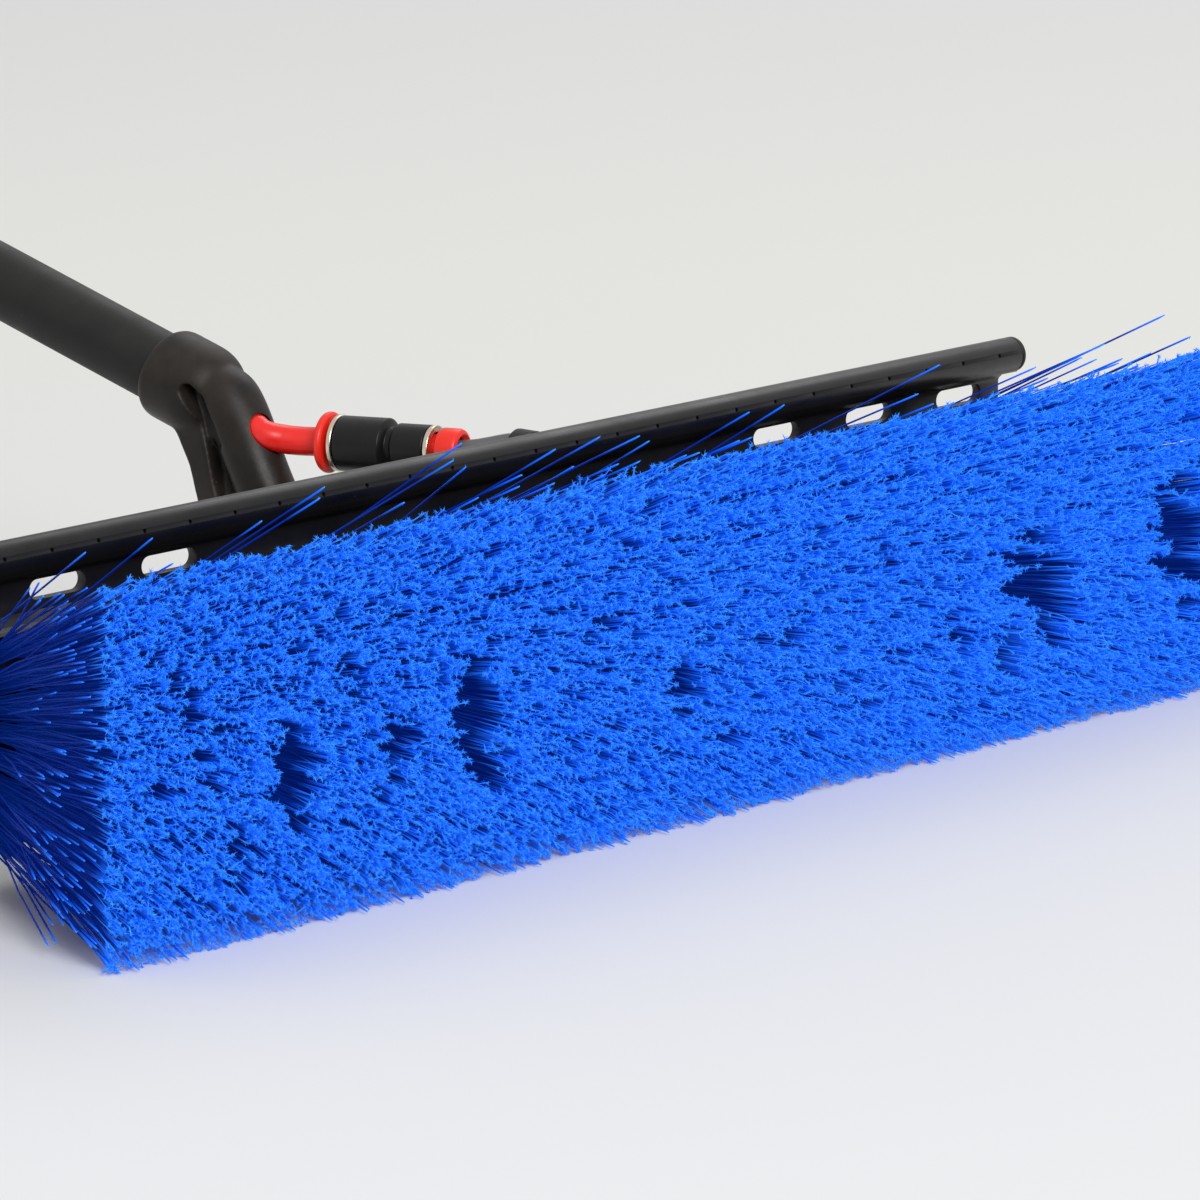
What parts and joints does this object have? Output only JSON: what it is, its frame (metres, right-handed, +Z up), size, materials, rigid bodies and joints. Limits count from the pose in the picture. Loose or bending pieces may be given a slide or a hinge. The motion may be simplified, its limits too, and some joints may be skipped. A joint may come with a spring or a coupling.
{
  "type": "solar panel cleaning brush",
  "caption": "Long flared water-fed brush with a slotted rinse bar, an S-shaped neck on a pole end, and a push-fit hose union.",
  "frame": {"origin": "under the middle of the object's box, on the floor that the lower bristles touch", "axes": "+X along the brush, -Y the way the bristle tips face, +Z up"},
  "size_m": [0.4688, 0.4493, 0.1627],
  "materials": {
    "bristle": "saturated blue split-tip filaments",
    "satin_black": "satin black",
    "charcoal": "satin-matt charcoal",
    "red": "smooth red",
    "steel": "bright",
    "rubber": "matt",
    "grey_tube": "smooth dark grey"
  },
  "bodies": {
    "brush": {"bar_inlet": "satin_black", "bar_plug_left": "satin_black", "bar_plug_right": "satin_black", "bar_screw_1": "steel", "bar_screw_2": "steel", "bar_screw_3": "steel", "bar_screw_4": "steel", "bar_seal_left": "rubber", "bar_seal_right": "rubber", "bracket_screw_1": "steel", "bracket_screw_2": "steel", "bracket_screw_3": "steel", "bracket_screw_4": "steel", "bristle_row_1": "bristle", "bristle_row_2": "bristle", "bristle_row_3": "bristle", "bristle_row_4": "bristle", "bristle_row_5": "bristle", "bristle_row_6": "bristle", "bristle_row_7": "bristle", "bristle_row_8": "bristle", "grab_ring_left": "steel", "grab_ring_right": "steel", "hose": "red", "inlet_stem": "grey_tube", "neck": "charcoal", "neck_bracket": "charcoal", "neck_pin": "steel", "neck_pin_clip": "steel", "pole_end_plug": "charcoal", "pole_tube": "charcoal", "rinse_bar": "satin_black", "stock": "satin_black", "stock_cap_left": "satin_black", "stock_cap_right": "satin_black", "union_body": "satin_black", "union_ring_left": "steel", "union_ring_right": "steel", "union_seal_left": "rubber", "union_seal_right": "rubber"},
    "left_collar": {"collar_left": "red"},
    "right_collar": {"collar_right": "red"}
  },
  "joints": [
    {"name": "left_collar_press", "type": "slide", "parent": "brush", "child": "left_collar", "axis": [0.2688, -0.9628, 0.0262], "range_m": [0, 0.0012], "stiffness_N_per_m": 500},
    {"name": "right_collar_press", "type": "slide", "parent": "brush", "child": "right_collar", "axis": [-0.2688, 0.9628, -0.0262], "range_m": [0, 0.0012], "stiffness_N_per_m": 500}
  ]
}
